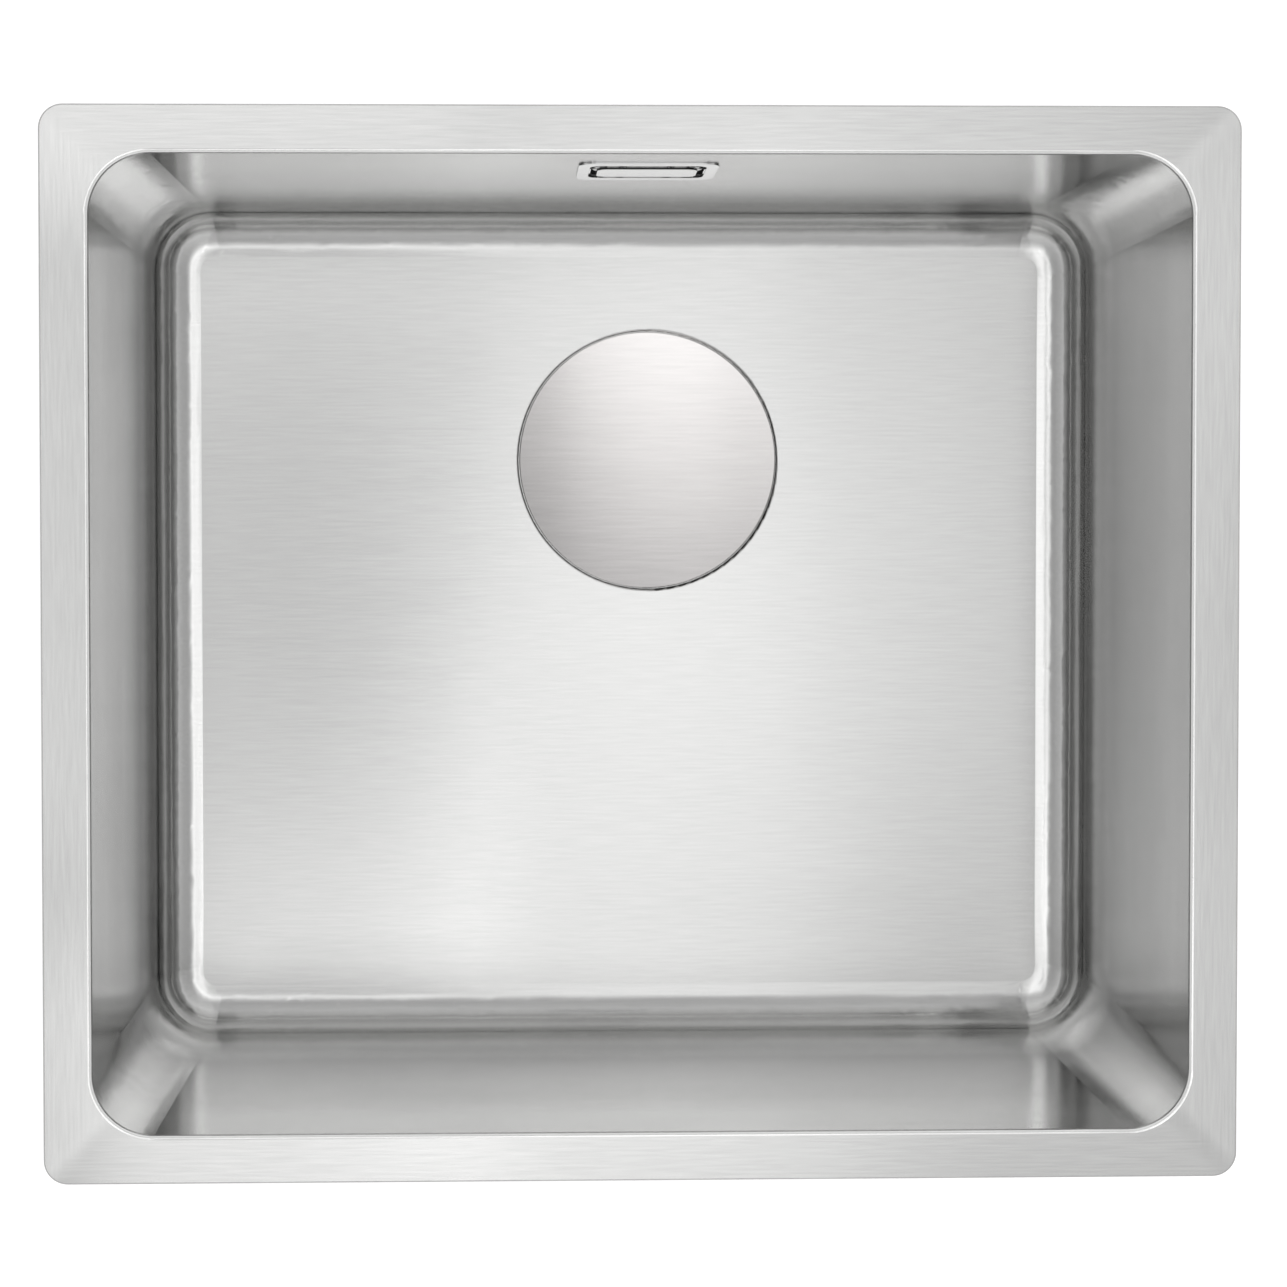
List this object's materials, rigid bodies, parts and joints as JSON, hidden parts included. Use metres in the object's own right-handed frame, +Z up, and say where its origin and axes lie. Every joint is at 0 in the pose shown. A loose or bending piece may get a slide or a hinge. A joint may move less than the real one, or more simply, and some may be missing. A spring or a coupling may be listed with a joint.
{
  "type": "sit-on sink",
  "caption": "Rectangular brushed-steel kitchen sink that sits on a worktop by its flat rim, with a basket waste under a round cover, an overflow and worktop clips.",
  "frame": {"origin": "middle of the rim, in the plane of the worktop's top face", "axes": "+X to the right along the rim's long sides, +Y to the back where the overflow is, +Z up"},
  "size_m": [0.49, 0.4405, 0.285],
  "materials": {
    "bowl_steel": "satin, brushed along the length",
    "cover_steel": "satin, brushed along the length",
    "waste_steel": "satin",
    "overflow_steel": "fine satin",
    "clip_steel": "zinc plated",
    "clamp_brass": "turned",
    "black_rubber": "matt",
    "pad_rubber": "matt",
    "grey_plastic": "moulded",
    "black_plastic": "moulded"
  },
  "bodies": {
    "sink": {"sink_shell": "bowl_steel", "waste_flange": "waste_steel", "overflow_frame": "overflow_steel", "overflow_screw_left": "overflow_steel", "overflow_screw_right": "overflow_steel", "clip_brackets": "clip_steel", "clip_studs": "clip_steel", "clamp_screw": "clip_steel", "clamp_insert": "clamp_brass", "rim_seal": "black_rubber", "flange_seal": "black_rubber", "lower_seal": "black_rubber", "overflow_seal": "black_rubber", "pipe_seal_upper": "black_rubber", "pipe_seal_lower": "black_rubber", "floor_pad_left": "pad_rubber", "floor_pad_right": "pad_rubber", "floor_pad_front": "pad_rubber", "wall_pad_left": "pad_rubber", "wall_pad_right": "pad_rubber", "wall_pad_front": "pad_rubber", "waste_body": "grey_plastic", "overflow_back": "grey_plastic", "overflow_pipe": "grey_plastic", "pipe_nut_upper": "black_plastic", "pipe_nut_lower": "black_plastic"},
    "strainer": {"strainer_basket": "waste_steel", "strainer_stopper": "black_rubber", "strainer_knob": "black_plastic"},
    "cover": {"drain_cover": "cover_steel", "cover_socket": "black_plastic"},
    "lid": {"overflow_lid": "overflow_steel"},
    "claw_front_left": {"clip_claw_front_left": "clip_steel"},
    "nut_front_left": {"clip_nut_front_left": "clip_steel"},
    "claw_back_left": {"clip_claw_back_left": "clip_steel"},
    "nut_back_left": {"clip_nut_back_left": "clip_steel"},
    "claw_front_right": {"clip_claw_front_right": "clip_steel"},
    "nut_front_right": {"clip_nut_front_right": "clip_steel"},
    "claw_back_right": {"clip_claw_back_right": "clip_steel"},
    "nut_back_right": {"clip_nut_back_right": "clip_steel"},
    "claw_left_front": {"clip_claw_left_front": "clip_steel"},
    "nut_left_front": {"clip_nut_left_front": "clip_steel"},
    "claw_right_front": {"clip_claw_right_front": "clip_steel"},
    "nut_right_front": {"clip_nut_right_front": "clip_steel"},
    "claw_left_back": {"clip_claw_left_back": "clip_steel"},
    "nut_left_back": {"clip_nut_left_back": "clip_steel"},
    "claw_right_back": {"clip_claw_right_back": "clip_steel"},
    "nut_right_back": {"clip_nut_right_back": "clip_steel"}
  },
  "joints": [
    {"name": "strainer_lift", "type": "slide", "parent": "sink", "child": "strainer", "axis": [0, 0, 1], "range_m": [0, 0.25]},
    {"name": "cover_lift", "type": "slide", "parent": "strainer", "child": "cover", "axis": [0, 0, 1], "range_m": [0, 0.2]},
    {"name": "lid_pull", "type": "slide", "parent": "sink", "child": "lid", "axis": [0, -0.9976, 0.0693], "range_m": [0, 0.03]},
    {"name": "claw_front_left_slide", "type": "slide", "parent": "sink", "child": "claw_front_left", "axis": [0, 0, 1], "range_m": [-0.006, 0.012]},
    {"name": "nut_front_left_turn", "type": "hinge", "parent": "claw_front_left", "child": "nut_front_left", "pos_m": [-0.13, -0.206, -0.048], "axis": [0, 0, 1], "range_deg": [-2704.5, 5404.5]},
    {"name": "claw_back_left_slide", "type": "slide", "parent": "sink", "child": "claw_back_left", "axis": [0, 0, 1], "range_m": [-0.006, 0.012]},
    {"name": "nut_back_left_turn", "type": "hinge", "parent": "claw_back_left", "child": "nut_back_left", "pos_m": [-0.13, 0.206, -0.048], "axis": [0, 0, 1], "range_deg": [-2704.5, 5404.5]},
    {"name": "claw_front_right_slide", "type": "slide", "parent": "sink", "child": "claw_front_right", "axis": [0, 0, 1], "range_m": [-0.006, 0.012]},
    {"name": "nut_front_right_turn", "type": "hinge", "parent": "claw_front_right", "child": "nut_front_right", "pos_m": [0.13, -0.206, -0.048], "axis": [0, 0, 1], "range_deg": [-2704.5, 5404.5]},
    {"name": "claw_back_right_slide", "type": "slide", "parent": "sink", "child": "claw_back_right", "axis": [0, 0, 1], "range_m": [-0.006, 0.012]},
    {"name": "nut_back_right_turn", "type": "hinge", "parent": "claw_back_right", "child": "nut_back_right", "pos_m": [0.13, 0.206, -0.048], "axis": [0, 0, 1], "range_deg": [-2704.5, 5404.5]},
    {"name": "claw_left_front_slide", "type": "slide", "parent": "sink", "child": "claw_left_front", "axis": [0, 0, 1], "range_m": [-0.006, 0.012]},
    {"name": "nut_left_front_turn", "type": "hinge", "parent": "claw_left_front", "child": "nut_left_front", "pos_m": [-0.231, -0.1, -0.048], "axis": [0, 0, 1], "range_deg": [-2704.5, 5404.5]},
    {"name": "claw_right_front_slide", "type": "slide", "parent": "sink", "child": "claw_right_front", "axis": [0, 0, 1], "range_m": [-0.006, 0.012]},
    {"name": "nut_right_front_turn", "type": "hinge", "parent": "claw_right_front", "child": "nut_right_front", "pos_m": [0.231, -0.1, -0.048], "axis": [0, 0, 1], "range_deg": [-2704.5, 5404.5]},
    {"name": "claw_left_back_slide", "type": "slide", "parent": "sink", "child": "claw_left_back", "axis": [0, 0, 1], "range_m": [-0.006, 0.012]},
    {"name": "nut_left_back_turn", "type": "hinge", "parent": "claw_left_back", "child": "nut_left_back", "pos_m": [-0.231, 0.1, -0.048], "axis": [0, 0, 1], "range_deg": [-2704.5, 5404.5]},
    {"name": "claw_right_back_slide", "type": "slide", "parent": "sink", "child": "claw_right_back", "axis": [0, 0, 1], "range_m": [-0.006, 0.012]},
    {"name": "nut_right_back_turn", "type": "hinge", "parent": "claw_right_back", "child": "nut_right_back", "pos_m": [0.231, 0.1, -0.048], "axis": [0, 0, 1], "range_deg": [-2704.5, 5404.5]}
  ],
  "couplings": [
    {"joint": "nut_front_left_turn", "follows": "claw_front_left_slide", "rad_per_m": 7854},
    {"joint": "nut_back_left_turn", "follows": "claw_back_left_slide", "rad_per_m": 7854},
    {"joint": "nut_front_right_turn", "follows": "claw_front_right_slide", "rad_per_m": 7854},
    {"joint": "nut_back_right_turn", "follows": "claw_back_right_slide", "rad_per_m": 7854},
    {"joint": "nut_left_front_turn", "follows": "claw_left_front_slide", "rad_per_m": 7854},
    {"joint": "nut_right_front_turn", "follows": "claw_right_front_slide", "rad_per_m": 7854},
    {"joint": "nut_left_back_turn", "follows": "claw_left_back_slide", "rad_per_m": 7854},
    {"joint": "nut_right_back_turn", "follows": "claw_right_back_slide", "rad_per_m": 7854}
  ]
}
